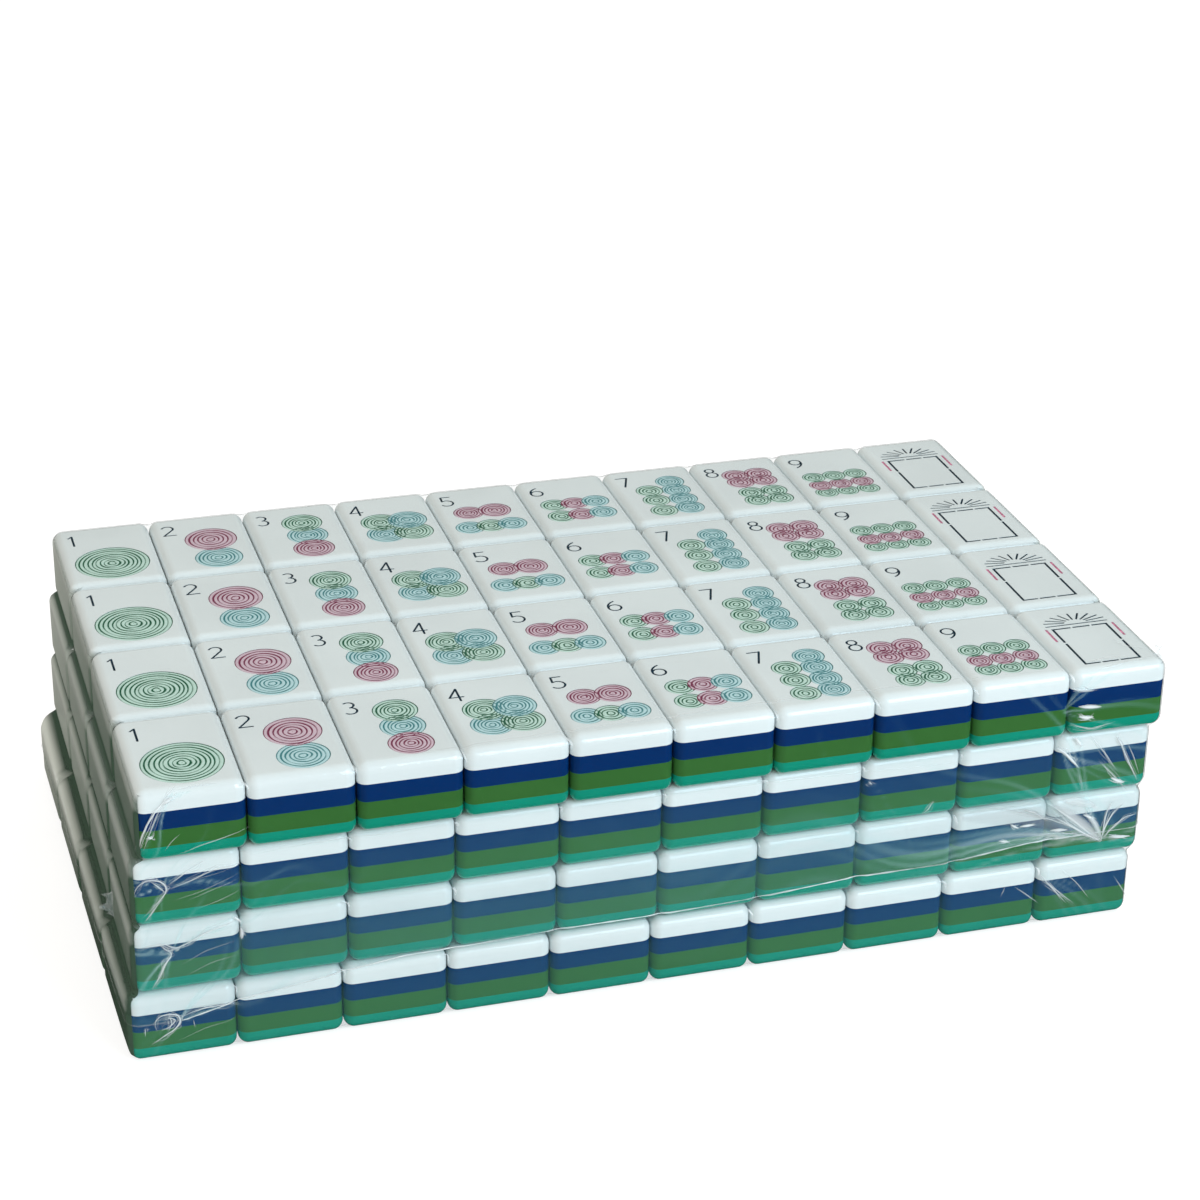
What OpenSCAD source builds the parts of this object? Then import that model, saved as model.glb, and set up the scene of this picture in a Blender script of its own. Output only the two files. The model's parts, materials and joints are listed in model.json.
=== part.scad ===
// A shrink-wrapped block of laminated mahjong tiles: four tiers of four rows of ten.
// +X runs along the rows, +Y from the front row to the back row, +Z up through the tiers.
// The origin is the middle of the block's footprint, on the surface that it stands on.

/* [Tile] */
// Width of a tile, along its row
tile_w = 22; // [18:0.5:30]
// Depth of a tile, from its front edge to its back edge
tile_d = 32.4; // [28:0.2:42]
// Thickness of the white face layer
face_t = 4.4; // [3.4:0.1:7]
// Thickness of the navy layer
navy_t = 4; // [2:0.1:7]
// Thickness of the olive layer
olive_t = 3.9; // [2:0.1:7]
// Thickness of the teal back layer
back_t = 3.3; // [2.4:0.1:7]
// Rounding of a tile's upright corners and of the edges round its face and its back
edge_round = 2.2; // [0.8:0.1:2.3]

/* [Engraving] */
// Depth of the cuts that hold the paint
cut_depth = 0.35; // [0.3:0.05:0.8]
// How far the paint lies below the face
paint_drop = 0.07; // [0.02:0.01:0.12]
// Depth of the ring lines in a painted disc
ring_depth = 0.15; // [0.05:0.01:0.2]
// Width of a ring line
ring_w = 0.35; // [0.2:0.05:0.5]
// Spacing that the ring lines aim for
ring_pitch = 0.95; // [0.75:0.05:1.6]
// Gap kept where one painted disc lies over another
disc_gap = 0.06; // [0.03:0.01:0.15]
// Height of a numeral
numeral_h = 5.3; // [4:0.1:7]
// Width of a numeral's strokes
numeral_stroke = 0.5; // [0.3:0.05:0.8]
// Width of the frame line on the soap tile
frame_w = 0.6; // [0.3:0.05:1]
// Width of the breaks in that frame line
frame_break = 0.45; // [0.2:0.05:1]
// Width of the strokes of the crest above the frame
crest_stroke = 0.45; // [0.3:0.05:0.7]
// Width of the two bars beside the frame
side_bar_w = 0.6; // [0.3:0.05:0.8]

/* [Block] */
// Gap between tiles that lie side by side
tile_gap = 0.2; // [0.1:0.05:0.6]
// Shift of the second tier to the right of the first
tier_2_right = 1.6; // [0:0.1:4]
// Shift of the third tier to the right of the first
tier_3_right = 2.3; // [0:0.1:5]
// Shift of the top tier to the right of the first
tier_4_right = 3.9; // [0:0.1:6]
// How far the first tier stands back from the top tier's front
tier_1_back = 0.6; // [0:0.1:3]
// How far the second tier stands back from the top tier's front
tier_2_back = 1.1; // [0:0.1:3]
// How far the third tier stands back from the top tier's front
tier_3_back = 1.4; // [0:0.1:3]

/* [Film] */
// Thickness of the film
film_t = 0.15; // [0.05:0.01:0.3]
// Clearance between the tiles and the film's walls
film_gap = 0.3; // [0.2:0.05:1]
// Clearance between the tray's walls and the cover that laps over them
lap_gap = 0.2; // [0.1:0.05:0.5]
// Height to which the tray's walls stand inside the cover
lap_top = 31; // [22:1:45]
// Height of the weld seam at the left end
seam_left = 9; // [4:0.5:20]
// Height of the weld seam at the right end
seam_right = 18; // [4:0.5:20]
// Height of the weld bead
bead_h = 0.9; // [0.4:0.1:2]
// Thickness of the weld bead
bead_t = 0.35; // [0.2:0.05:0.8]
// How far the film's loose fins stand out from the ends
fin_reach = 3; // [1:0.5:6]
// Height of those fins
fin_h = 6; // [3:0.5:12]
// Distance from the front wall to the fins
fin_inset = 9; // [4:0.5:30]

/* [Hidden] */
$fn = 48;
// Overrun of every cut past the surface that it opens
over = 0.5;
columns = 10;
rows = 4;
GREEN = 0;
PINK = 1;
AQUA = 2;

tile_h = back_t + olive_t + navy_t + face_t;
pitch_x = tile_w + tile_gap;
pitch_y = tile_d + tile_gap;
row_w = columns * pitch_x - tile_gap;
block_d = rows * pitch_y - tile_gap;
tier_right = [0, tier_2_right, tier_3_right, tier_4_right];
tier_back = [tier_1_back, tier_2_back, tier_3_back, 0];
stack_w = row_w + max(tier_right);
stack_d = block_d + max(tier_back);
stack_h = len(tier_right) * tile_h;

// The film's walls stand outside the widest tiers, and its fins set the block's width.
tray_out = film_gap + film_t;
cover_in = tray_out + lap_gap;
cover_out = cover_in + film_t;
stand_out = cover_out + max(fin_reach, bead_t);
stack_left = -stack_w / 2;
stack_front = -stack_d / 2;
stack_floor = film_t;
cover_left = stack_left - cover_out;
cover_w = stack_w + 2 * cover_out;
cover_front = stack_front - cover_out;
cover_d = stack_d + 2 * cover_out;
cover_top = stack_floor + stack_h + film_t;

// Flat field of a face, inside its rounded edges
field_w = tile_w - 2 * edge_round;
field_d = tile_d - 2 * edge_round;
paint_h = cut_depth - paint_drop;
ring_floor = paint_h - ring_depth;

// Discs of the suit tiles 1 to 9, the later ones lying over the earlier. Each has its paint,
// its centre as shares of the field's width and depth, and its radius as a share of the width.
disc_shares = [
    [[GREEN, 0.506, 0.314, 0.481]],
    [[AQUA, 0.601, 0.196, 0.312], [PINK, 0.593, 0.569, 0.344]],
    [[AQUA, 0.588, 0.442, 0.273], [PINK, 0.588, 0.175, 0.273], [GREEN, 0.588, 0.696, 0.273]],
    [for (i = [0, 1], j = [0, 1]) [i == j ? AQUA : GREEN, [0.341, 0.71][i], [0.292, 0.535][j], 0.265]],
    [for (i = [0:2]) [i == 1 ? GREEN : AQUA, [0.198, 0.485, 0.778][i], 0.234, 0.198],
        [PINK, 0.293, 0.535, 0.206], [PINK, 0.653, 0.535, 0.225]],
    [for (i = [0:2], j = [0, 1]) [[GREEN, PINK, AQUA][i], [0.214, 0.5, 0.795][i], [0.263, 0.5][j], 0.19]],
    [for (y = [0.164, 0.35, 0.546, 0.732]) [AQUA, 0.712, y, 0.202],
        for (y = [0.154, 0.379, 0.582]) [GREEN, 0.345, y, 0.19]],
    [for (x = [0.394, 0.725], y = [0.557, 0.707]) [PINK, x, y, 0.193],
        for (x = [0.423, 0.748], y = [0.154, 0.321]) [GREEN, x, y, 0.185]],
    [for (i = [0:2], j = [0:2]) [j == 1 ? PINK : GREEN, [0.165, 0.46, 0.773][i],
        [0.154, 0.314, 0.489][j], 0.1625]],
];

// Strokes of the numerals 1 to 9, as shares of the numeral's height. Four numbers are a bar's
// two ends. Five are an arc's centre, its radius and the angles that it runs between.
numeral_shares = [
    [[0.3, 0, 0.3, 1], [0.14, 0.84, 0.3, 1]],
    [[0.27, 0.73, 0.25, -35, 165], [0.475, 0.587, 0.03, 0.03], [0.03, 0.03, 0.55, 0.03]],
    [[0.25, 0.76, 0.22, -90, 140], [0.25, 0.28, 0.26, -145, 90]],
    [[0.42, 0, 0.42, 1], [0.42, 1, 0.03, 0.3], [0.03, 0.3, 0.58, 0.3]],
    [[0.5, 0.97, 0.12, 0.97], [0.12, 0.97, 0.094, 0.54], [0.26, 0.3, 0.29, -150, 125]],
    [[0.28, 0.3, 0.27, 0, 360], [0.62, 0.34, 0.61, 112, 180]],
    [[0.03, 0.97, 0.53, 0.97], [0.53, 0.97, 0.2, 0]],
    [[0.28, 0.29, 0.26, 0, 360], [0.28, 0.76, 0.2, 0, 360]],
    [[0.28, 0.7, 0.27, 0, 360], [-0.06, 0.66, 0.61, -68, 0]],
];
// Lower left corner of a numeral, as shares of the field
numeral_place_shares = [0.005, 0.714];
// A stroke's round ends, against its width
stroke_end_share = 1.06;

// The soap tile's frame, crest and side bars, as shares of the field
frame_low_share = [0.1, 0.037];
frame_high_share = [0.856, 0.668];
frame_break_shares = [[0.36, 1], [0.7, 1], [0.3, 0], [0.62, 0], [0, 0.6], [1, 0.52]];
crest_foot_share = [0.478, 0.712];
crest_reach_share = [0.41, 0.16];
crest_inner_share = 0.4;
crest_spokes = 9;
crest_first_angle = 14;
side_bar_shares = [[0.032, 0.46, 0.032, 0.66], [0.928, 0.44, 0.928, 0.655]];

// The film's four sides and the ways that they face
SIDES = [["front", [0, -1]], ["back", [0, 1]], ["left", [-1, 0]], ["right", [1, 0]]];

// Places of the tiles: their front left lower corners
module at_tile(tier, column, row) {
    translate([
        stack_left + tier_right[tier - 1] + column * pitch_x,
        stack_front + tier_back[tier - 1] + row * pitch_y,
        stack_floor + (tier - 1) * tile_h
    ])
        children();
}

module whole_tier(tier) {
    for (row = [0:rows - 1], column = [0:columns - 1])
        at_tile(tier, column, row) children();
}

module top_column(column) {
    for (row = [0:rows - 1])
        at_tile(len(tier_right), column, row) children();
}

function on_field(share) = [edge_round + share[0] * field_w, edge_round + share[1] * field_d];

// Centres of a tile's four upright corners
module at_corners() {
    for (x = [edge_round, tile_w - edge_round], y = [edge_round, tile_d - edge_round])
        translate([x, y, 0]) children();
}

module flat_layer(height) {
    linear_extrude(height) {
        translate([edge_round, 0]) square([field_w, tile_d]);
        translate([0, edge_round]) square([tile_w, field_d]);
        at_corners() circle(edge_round);
    }
}

// The upper part of a rounded edge, about its centre
module edge_arc() {
    intersection() {
        circle(edge_round);
        translate([-edge_round, 0]) square([2 * edge_round, edge_round]);
    }
}

// A layer's outline from one side, with its upper edges rounded
module side_outline(reach, height) {
    square([reach, height - edge_round]);
    translate([edge_round, 0]) square([reach - 2 * edge_round, height]);
    for (x = [edge_round, reach - edge_round])
        translate([x, height - edge_round]) edge_arc();
}

// Half the outline of a corner, which ends in a ball above
module corner_outline(height) {
    square([edge_round, height - edge_round]);
    translate([0, height - edge_round]) intersection() {
        edge_arc();
        square(edge_round);
    }
}

// A layer with rounded upper edges: its two side views and its four corners
module rounded_layer(height) {
    translate([0, tile_d - edge_round, 0]) rotate([90, 0, 0])
        linear_extrude(field_d) side_outline(tile_w, height);
    translate([edge_round, 0, 0]) rotate([90, 0, 90])
        linear_extrude(field_w) side_outline(tile_d, height);
    at_corners() rotate_extrude() corner_outline(height);
}

module white_face() {
    translate([0, 0, tile_h - face_t]) rounded_layer(face_t);
}

module navy_layer() {
    translate([0, 0, back_t + olive_t]) flat_layer(navy_t);
}

module olive_layer() {
    translate([0, 0, back_t]) flat_layer(olive_t);
}

module teal_back() {
    translate([0, tile_d, back_t]) rotate([180, 0, 0]) rounded_layer(back_t);
}

// Floor of the engraved cuts in a face
module at_cut_floor() {
    translate([0, 0, tile_h - cut_depth]) children();
}

// One straight stroke with round ends
module bar_stroke(from, to, width, height) {
    reach = to - from;
    translate(from) rotate(atan2(reach[1], reach[0]))
        translate([0, -width / 2, 0]) cube([norm(reach), width, height]);
    for (end = [from, to])
        translate(end) cylinder(h = height, d = width * stroke_end_share);
}

// One stroke along an arc
module arc_stroke(centre, radius, first, last, width, height) {
    translate(centre) rotate(first) rotate_extrude(angle = last - first)
        translate([radius - width / 2, 0]) square([width, height]);
}

module numeral(number, height) {
    translate(on_field(numeral_place_shares))
        for (s = numeral_shares[number - 1]) {
            p = s * numeral_h;
            if (len(s) == 4)
                bar_stroke([p[0], p[1]], [p[2], p[3]], numeral_stroke, height);
            else
                arc_stroke([p[0], p[1]], p[2], s[3], s[4], numeral_stroke, height);
        }
}

function disc_radius(disc) = disc[3] * field_w;
function disc_centre(disc) = on_field([disc[1], disc[2]]);

// A painted disc: lands with ring lines sunk between them, the outermost line at its rim
module ring_disc(radius) {
    rings = max(1, round(radius / ring_pitch));
    step = radius / rings;
    rotate_extrude() polygon(concat(
        [[0, 0], [radius, 0]],
        [for (i = [0:rings - 1], p = [[0, ring_floor], [ring_w, ring_floor], [ring_w, paint_h], [step, paint_h]])
            [radius - i * step - p[0], p[1]]]
    ));
}

// The discs of one paint on one suit tile, each cut back where a later one lies over it
module painted_discs(number, paint) {
    discs = disc_shares[number - 1];
    for (i = [0:len(discs) - 1])
        if (discs[i][0] == paint)
            difference() {
                translate(disc_centre(discs[i])) ring_disc(disc_radius(discs[i]));
                for (k = [i + 1:1:len(discs) - 1])
                    translate(disc_centre(discs[k])) translate([0, 0, -over])
                        cylinder(h = cut_depth + 2 * over, r = disc_radius(discs[k]) + disc_gap);
            }
}

// The soap tile's frame line, broken in six places
module frame_line(height) {
    low = on_field(frame_low_share);
    size = on_field(frame_high_share) - low;
    translate(low) difference() {
        cube([size[0], size[1], height]);
        translate([frame_w, frame_w, -over])
            cube([size[0] - 2 * frame_w, size[1] - 2 * frame_w, height + 2 * over]);
        for (share = frame_break_shares)
            translate([share[0] * size[0], share[1] * size[1], height / 2])
                cube(share[1] == 0 || share[1] == 1
                    ? [frame_break, 2 * frame_w + over, height + 2 * over]
                    : [2 * frame_w + over, frame_break, height + 2 * over], center = true);
    }
}

// A low crest of plain spokes behind the frame
module crest(height) {
    foot = on_field(crest_foot_share);
    reach = [crest_reach_share[0] * field_w, crest_reach_share[1] * field_d];
    turn = (180 - 2 * crest_first_angle) / (crest_spokes - 1);
    bar_stroke(foot - [reach[0], 0], foot + [reach[0], 0], crest_stroke, height);
    for (i = [0:crest_spokes - 1]) {
        angle = crest_first_angle + i * turn;
        tip = [reach[0] * cos(angle), reach[1] * sin(angle)];
        bar_stroke(foot + tip * crest_inner_share + [0, crest_stroke], foot + tip + [0, crest_stroke],
            crest_stroke, height);
    }
}

module side_bars(height) {
    for (share = side_bar_shares)
        bar_stroke(on_field([share[0], share[1]]), on_field([share[2], share[3]]), side_bar_w, height);
}

// Sub-parts of the top tier
module dots_faces(number) {
    color("white") top_column(number - 1) difference() {
        white_face();
        at_cut_floor() {
            for (disc = disc_shares[number - 1])
                translate(disc_centre(disc)) cylinder(h = cut_depth + over, r = disc_radius(disc));
            numeral(number, cut_depth + over);
        }
    }
}

module soap_faces() {
    color("white") top_column(columns - 1) difference() {
        white_face();
        at_cut_floor() {
            frame_line(cut_depth + over);
            crest(cut_depth + over);
            side_bars(cut_depth + over);
        }
    }
}

module ring_paint(paint, shade) {
    color(shade)
        for (number = [1:len(disc_shares)])
            if (len([for (disc = disc_shares[number - 1]) if (disc[0] == paint) disc]) > 0)
                top_column(number - 1) at_cut_floor() painted_discs(number, paint);
}

module green_ring_paint() {
    ring_paint(GREEN, [0.45, 0.66, 0.55]);
}

module pink_ring_paint() {
    ring_paint(PINK, [0.76, 0.50, 0.60]);
}

module aqua_ring_paint() {
    ring_paint(AQUA, [0.56, 0.76, 0.78]);
}

module numeral_paint() {
    color([0.08, 0.22, 0.32])
        for (number = [1:len(numeral_shares)])
            top_column(number - 1) at_cut_floor() numeral(number, paint_h);
}

module soap_frame_paint() {
    color([0.10, 0.24, 0.30]) top_column(columns - 1) at_cut_floor() frame_line(paint_h);
}

module soap_crest_paint() {
    color([0.10, 0.24, 0.30]) top_column(columns - 1) at_cut_floor() crest(paint_h);
}

module soap_side_bar_paint() {
    color([0.72, 0.42, 0.54]) top_column(columns - 1) at_cut_floor() side_bars(paint_h);
}

// Layers of a whole tier
module tier_white_faces(tier) {
    color("white") whole_tier(tier) white_face();
}

module tier_navy_layers(tier) {
    color([0.02, 0.20, 0.43]) whole_tier(tier) navy_layer();
}

module tier_olive_layers(tier) {
    color([0.22, 0.42, 0.19]) whole_tier(tier) olive_layer();
}

module tier_teal_backs(tier) {
    color([0.06, 0.56, 0.46]) whole_tier(tier) teal_back();
}

// Film
film_tint = [0.85, 0.92, 0.94, 0.35];

function seam_height(x) = seam_left + (seam_right - seam_left) * (x - cover_left) / cover_w;

// A box that stands out from the tiles by the same amount on all four sides
module around_tiles(out, low, high) {
    translate([stack_left - out, stack_front - out, low])
        cube([stack_w + 2 * out, stack_d + 2 * out, high - low]);
}

// Everything between two lines that run at the seam's slope, lifted by low and by high
module along_seam(low, high) {
    ends = [cover_left - stand_out, cover_left + cover_w + stand_out];
    translate([0, stack_d, 0]) rotate([90, 0, 0]) linear_extrude(2 * stack_d)
        polygon([
            [ends[0], seam_height(ends[0]) + low], [ends[1], seam_height(ends[1]) + low],
            [ends[1], seam_height(ends[1]) + high], [ends[0], seam_height(ends[0]) + high]
        ]);
}

// One upright sheet of film. The front and back ones are full width, the other two stand between them.
module upright_sheet(facing, inner, low, high) {
    inside = [stack_w / 2 + inner, stack_d / 2 + inner];
    translate([
        facing[0] * (inside[0] + film_t / 2),
        facing[1] * (inside[1] + film_t / 2),
        (low + high) / 2
    ])
        cube([
            facing[0] == 0 ? 2 * (inside[0] + film_t) : film_t,
            facing[0] == 0 ? film_t : 2 * inside[1],
            high - low
        ], center = true);
}

module film_tray_floor() {
    color(film_tint) around_tiles(tray_out, 0, film_t);
}

module film_tray_side(facing) {
    color(film_tint) upright_sheet(facing, film_gap, film_t, lap_top);
}

module film_cover_top() {
    color(film_tint) around_tiles(cover_out, cover_top - film_t, cover_top);
}

module film_cover_side(facing) {
    color(film_tint) difference() {
        upright_sheet(facing, cover_in, 0, cover_top - film_t);
        along_seam(-cover_top, 0);
    }
}

module film_weld_seam() {
    color([0.92, 0.96, 0.97, 0.7]) intersection() {
        difference() {
            around_tiles(cover_out + bead_t, 0, cover_top);
            around_tiles(cover_out, -over, cover_top + over);
        }
        along_seam(0, bead_h);
    }
}

// Outline of a fin, as shares of its reach and its height
fin_shares = [[0, 0], [0.5, 0.12], [0.35, 0.3], [1, 0.42], [0.55, 0.56], [0.8, 0.86], [0.4, 0.75], [0, 1]];

module film_fins() {
    outline = [for (share = fin_shares) [share[0] * fin_reach, share[1] * fin_h]];
    color(film_tint) {
        translate([cover_left + cover_w, cover_front + fin_inset, cover_top - film_t - fin_h])
            rotate([90, 0, 0]) linear_extrude(film_t) polygon(outline);
        translate([cover_left, cover_front + fin_inset, lap_top])
            rotate([90, 0, 180]) linear_extrude(film_t) polygon(outline);
    }
}

for (n = [1:9])
    dots_faces(n);
soap_faces();
for (t = [1:3])
    tier_white_faces(t);
for (t = [1:4]) {
    tier_navy_layers(t);
    tier_olive_layers(t);
    tier_teal_backs(t);
}
green_ring_paint();
pink_ring_paint();
aqua_ring_paint();
numeral_paint();
soap_frame_paint();
soap_crest_paint();
soap_side_bar_paint();
film_tray_floor();
film_cover_top();
for (side = SIDES) {
    film_tray_side(side[1]);
    film_cover_side(side[1]);
}
film_weld_seam();
film_fins();
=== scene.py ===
# %% [markdown]
# # A shrink-wrapped block of mahjong tiles
# The real object is 160 acrylic tiles in four tiers, sealed in clear shrink film. The CAD model comes in as
# a fixed frame, in which every layer of every tile and the paint in its engraving is a solid. Those solids
# stay where they are. This notebook dresses them: it gives the layers and the paint their materials, and
# makes anew what CAD's plain solids can't show, which is the cut rings and the film, with its folds, its
# weld and its haze.
# Lengths are millimetres where a name says so, and metres once they reach Blender.

# %% Frame
import json
import math

import bmesh
import bpy
import numpy as np
from mathutils import Matrix, Vector


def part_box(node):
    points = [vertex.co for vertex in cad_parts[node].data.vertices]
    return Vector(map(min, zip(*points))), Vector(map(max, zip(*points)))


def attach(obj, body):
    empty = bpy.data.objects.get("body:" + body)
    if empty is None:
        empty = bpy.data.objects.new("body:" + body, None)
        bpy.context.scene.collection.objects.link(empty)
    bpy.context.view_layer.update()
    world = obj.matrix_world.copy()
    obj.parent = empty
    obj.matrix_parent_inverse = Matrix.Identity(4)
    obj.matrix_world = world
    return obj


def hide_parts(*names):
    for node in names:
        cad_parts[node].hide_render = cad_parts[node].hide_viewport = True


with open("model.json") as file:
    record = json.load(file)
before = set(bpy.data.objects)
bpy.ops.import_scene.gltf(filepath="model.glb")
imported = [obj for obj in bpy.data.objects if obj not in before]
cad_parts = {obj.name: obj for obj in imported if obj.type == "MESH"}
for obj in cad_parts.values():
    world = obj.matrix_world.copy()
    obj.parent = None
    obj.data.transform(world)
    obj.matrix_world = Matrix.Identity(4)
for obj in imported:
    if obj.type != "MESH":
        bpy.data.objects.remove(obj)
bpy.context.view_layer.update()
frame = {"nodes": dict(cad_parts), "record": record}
MM = 0.001

# %% [markdown]
# ## Camera
# The picture was taken from the front left, a little above the block. A camera could be placed by eye, but
# then no measure taken from the picture would hold. The angles and the lens of this one come from a fit to
# the corners of the tiles, over a frame of 1200 x 1200. So a pixel of the picture is a known line of sight
# in the scene, and later steps follow such lines to lay each fold where the real one is.

# %% Camera
AZIMUTH, ELEVATION, ROLL = (math.radians(a) for a in (-16.793, 25.611, 0.721))
FOCAL_PX, FRAME_PX, SENSOR_MM = 2957.1, 1200, 36
TARGET, DISTANCE = Vector((3.71, -4.85, 62.55)) * MM, 658.3 * MM

back = Vector((math.sin(AZIMUTH) * math.cos(ELEVATION), -math.cos(AZIMUTH) * math.cos(ELEVATION),
               math.sin(ELEVATION)))
level = Vector((math.cos(AZIMUTH), math.sin(AZIMUTH), 0))
right = math.cos(ROLL) * level + math.sin(ROLL) * back.cross(level)
up = back.cross(right)
eye = TARGET + back * DISTANCE

camera = bpy.data.objects.new("camera", bpy.data.cameras.new("camera"))
camera.matrix_world = Matrix((right, up, back)).transposed().to_4x4()
camera.location = eye
camera.data.sensor_width = SENSOR_MM
camera.data.lens = FOCAL_PX / FRAME_PX * SENSOR_MM
camera.data.clip_start = 0.01
scene = bpy.context.scene
scene.collection.objects.link(camera)
scene.camera = camera
scene.view_settings.view_transform = "Standard"


def sight_line(px, py):
    """The way from the eye through a pixel of the picture."""
    middle = FRAME_PX / 2
    return right * (px - middle) + up * (middle - py) - back * FOCAL_PX


print("lens, mm:", round(camera.data.lens, 2))

# %% [markdown]
# ## Sizes
# All tiles are alike, and the tiers stand a little off each other. These measures could be typed in again,
# but then they might drift from the solids. So they are read from the boxes of the frame's nodes, and only
# what a box can't show, such as the rounding of the edges, repeats a value of the CAD source.

# %% Sizes
COLUMNS, ROWS, TIERS = 10, 4, 4
EDGE_MM, GAP_MM = 2.2, 0.2
PAINT_DROP_MM, RING_DEPTH_MM, RING_W_MM, RING_PITCH_MM = 0.07, 0.06, 0.30, 0.95

lows, highs, seats = [], [], []
for tier in range(1, TIERS + 1):
    low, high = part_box(f"tier_{tier}_olive_layers")
    lows.append((low.x / MM, low.y / MM))
    highs.append((high.x / MM, high.y / MM))
    seats.append(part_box(f"tier_{tier}_teal_backs")[0].z / MM)
TOP_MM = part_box("dots_1_faces")[1].z / MM
TILE_H_MM = (TOP_MM - seats[0]) / TIERS
PITCH_X_MM = (highs[0][0] - lows[0][0] + GAP_MM) / COLUMNS
PITCH_Y_MM = (highs[0][1] - lows[0][1] + GAP_MM) / ROWS
SIZE_MM = (PITCH_X_MM - GAP_MM, PITCH_Y_MM - GAP_MM, TILE_H_MM)
SEAM_LEFT_MM, SEAM_RIGHT_MM = (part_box(f"film_cover_{side}")[0].z / MM for side in ("left", "right"))
LAP_TOP_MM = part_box("film_tray_left")[1].z / MM
BLOCK_LOW = (min(x for x, _ in lows), min(y for _, y in lows), 0)
BLOCK_HIGH = (max(x for x, _ in highs), max(y for _, y in highs), TOP_MM)
print("tile, mm:", [round(v, 2) for v in SIZE_MM], "tiers' lefts:", [round(x, 2) for x, _ in lows])

# %% [markdown]
# ## Shader arithmetic
# A material is a graph of nodes. Each node could be added and linked by lines of its own, but the wiring
# then hides what the maths says. `Wire` holds an output and takes part in sums as a number does, so that 1
# - mask adds its own Math node. Any other kind of node comes from `node`, which first sets its settings and
# then feeds its sockets.


# %% Wires and nodes
def feed(tree, value, socket):
    """Links a wire to a socket, or sets the socket's own value."""
    if isinstance(value, Wire):
        tree.links.new(value.socket, socket)
    else:
        socket.default_value = (*value, 1) if socket.type == "RGBA" else value


def node(tree, kind, sockets, out=0, **settings):
    """One output of a new node, with its settings and the values or links of its sockets."""
    made = tree.nodes.new("ShaderNode" + kind)
    for name, value in settings.items():
        setattr(made, name, value)
    for name, value in sockets.items():
        feed(tree, value, made.inputs[name])
    return Wire(tree, made.outputs[out])


class Wire:
    """An output that adds, subtracts, multiplies and takes powers as a number does."""

    def __init__(self, tree, socket):
        self.tree, self.socket = tree, socket

    def math(self, operation, first, second, clamp=False):
        return node(self.tree, "Math", {0: first, 1: second}, operation=operation, use_clamp=clamp)

    def __add__(self, other):
        return self.math("ADD", self, other)

    def __sub__(self, other):
        return self.math("SUBTRACT", self, other)

    def __rsub__(self, other):
        return self.math("SUBTRACT", other, self)

    def __mul__(self, other):
        return self.math("MULTIPLY", self, other)

    def __pow__(self, other):
        return self.math("POWER", self, other)

    __radd__, __rmul__ = __add__, __mul__

    def clamp(self):
        """The same value, kept from 0 to 1."""
        return self.math("ADD", self, 0.0, clamp=True)

    def ramp(self, low, high):
        """0 up to low and 1 from high, smooth between them."""
        return node(self.tree, "MapRange", {"Value": self, "From Min": low, "From Max": high},
                    interpolation_type="SMOOTHSTEP")


print("a Wire works with + - * ** and has clamp and ramp")

# %% [markdown]
# ## A material of one's own
# Every finish here starts from the same things: noise of a known size, values that a mesh carries, a mix of
# two colours, and relief. They could be built anew for each finish. `Paint` keeps them as methods, so that
# a finish reads as a short recipe. Noise reads object coordinates, so a pattern stays on its piece when the
# piece moves.


# %% Paint
class Paint:
    """A material, its Principled shader and what feeds them."""

    def __init__(self, name):
        self.material = bpy.data.materials.new(name)
        self.material.use_nodes = True
        self.tree = self.material.node_tree
        self.shader = self.tree.nodes["Principled BSDF"]
        self.coordinates = self.node("TexCoord", {}, out="Object")

    def node(self, kind, sockets, **settings):
        return node(self.tree, kind, sockets, **settings)

    def noise(self, size, detail=2.0):
        """Noise from 0 to 1, with features of that size in millimetres along each axis."""
        scale = [1 / (MM * s) for s in (size if isinstance(size, tuple) else (size,) * 3)]
        place = self.node("Mapping", {"Vector": self.coordinates, "Scale": scale})
        return self.node("TexNoise", {"Vector": place, "Scale": 1.0, "Detail": detail})

    def attribute(self, name):
        """A value that the mesh carries at its vertices."""
        return self.node("Attribute", {}, out="Fac", attribute_name=name)

    def mix(self, factor, first, second):
        """One colour that turns into another as the factor grows."""
        return self.node("Mix", {0: factor, 6: first, 7: second}, out=2, data_type="RGBA")

    def bump(self, height, strength, distance_mm):
        """Relief that is too fine for the mesh."""
        return self.node("Bump", {"Height": height, "Strength": strength, "Distance": distance_mm * MM})

    def set(self, **sockets):
        """Feeds the Principled shader's sockets; an underline stands for a space."""
        for name, value in sockets.items():
            feed(self.tree, value, self.shader.inputs[name.replace("_", " ")])

    def surface(self, shader):
        feed(self.tree, shader, self.tree.nodes["Material Output"].inputs["Surface"])


def shaded(colour, share):
    return tuple(c * share for c in colour)


print("a Paint offers:", " ".join(name for name in vars(Paint) if not name.startswith("_")))

# %% [markdown]
# ## Acrylic layers
# A tile is cut from four sheets of coloured acrylic, glued into one, and polished. One flat colour would do
# from afar, but then every tile looks like printed card. Cast acrylic has clouds of slightly deeper colour,
# a few specks, and hairline scratches that show in its gloss, so noise of three sizes gives those.

# %% Acrylic
ACRYLIC = {"white_face": (0.80, 0.85, 0.86), "navy_layer": (0.0, 0.028, 0.135),
           "olive_layer": (0.040, 0.150, 0.032), "teal_back": (0.003, 0.28, 0.185)}
ACRYLIC_IOR, PAINT_IOR = 1.49, 1.48


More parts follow.
